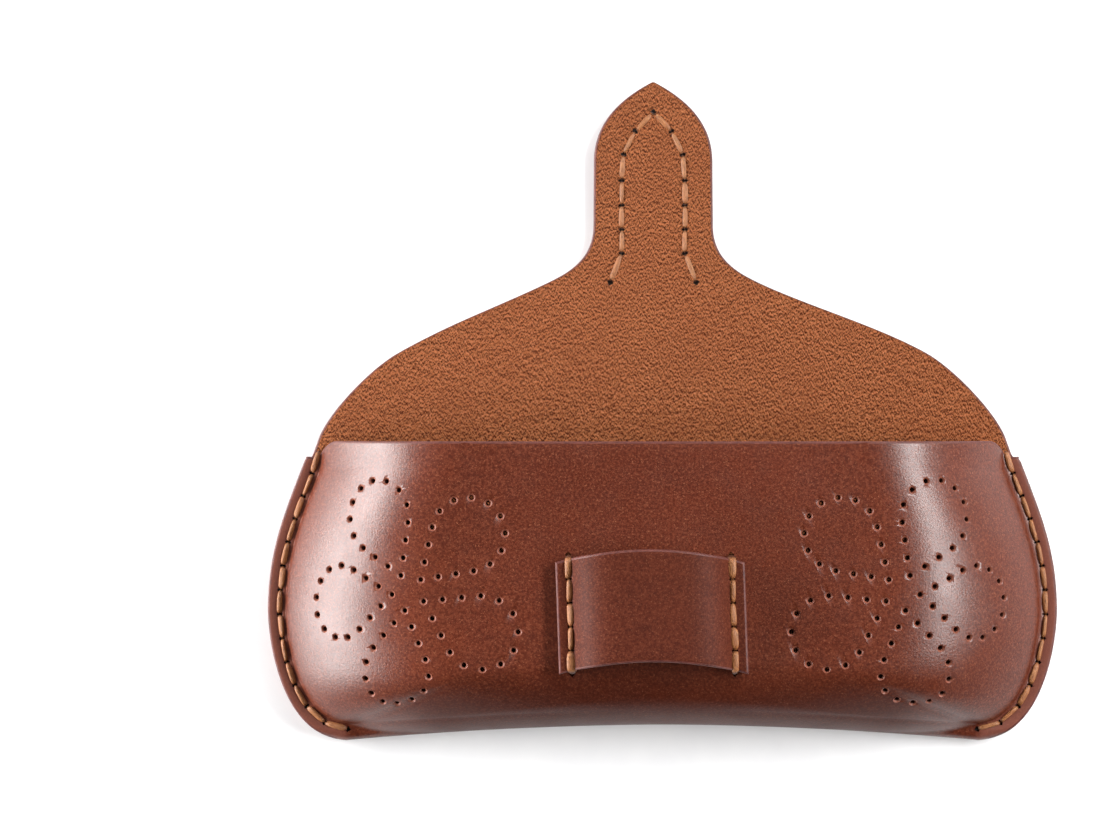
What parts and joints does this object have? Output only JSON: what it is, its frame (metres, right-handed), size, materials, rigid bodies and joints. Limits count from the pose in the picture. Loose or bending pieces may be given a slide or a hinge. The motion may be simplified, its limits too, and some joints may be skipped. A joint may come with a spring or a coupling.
{
  "type": "eyeglasses case",
  "caption": "Hand-stitched leather glasses case with a domed front pocket, an arched keeper strap and a fold-over flap whose pointed tongue tucks under the strap.",
  "frame": {"origin": "on the back's outer face, the plane the case rests on, under the middle of its length and width with the flap open flat", "axes": "+X across the case, from the left seam to the right one; +Y from the bottom fold to the tip of the tongue; +Z from the back up through the domed front"},
  "size_m": [0.182, 0.1522, 0.0356],
  "materials": {
    "grain_leather": "glossy",
    "suede_leather": "matte",
    "waxed_thread": "satin"
  },
  "bodies": {
    "pocket": {"back_panel": "grain_leather", "bottom_fold": "grain_leather", "front_panel": "grain_leather", "keeper_strap": "grain_leather", "side_thread_left": "waxed_thread", "side_thread_right": "waxed_thread", "keeper_thread_left": "waxed_thread", "keeper_thread_right": "waxed_thread"},
    "flap_back": {"flap_back": "suede_leather"},
    "flap_bridge": {"flap_bridge": "suede_leather"},
    "flap_tongue": {"flap_tongue": "suede_leather", "tongue_thread": "waxed_thread"}
  },
  "joints": [
    {"name": "flap_crease", "type": "hinge", "parent": "pocket", "child": "flap_back", "pos_m": [0, -0.0065, 0.0022], "axis": [1, 0, 0], "range_deg": [0, 75]},
    {"name": "flap_bend", "type": "hinge", "parent": "flap_back", "child": "flap_bridge", "pos_m": [0, 0.014, 0.0022], "axis": [1, 0, 0], "range_deg": [0, 60]},
    {"name": "flap_curl", "type": "hinge", "parent": "flap_bridge", "child": "flap_tongue", "pos_m": [0, 0.021, 0.0022], "axis": [1, 0, 0], "range_deg": [0, 45]}
  ],
  "couplings": [
    {"joint": "flap_curl", "follows": "flap_bend", "ratio": 0.75}
  ]
}
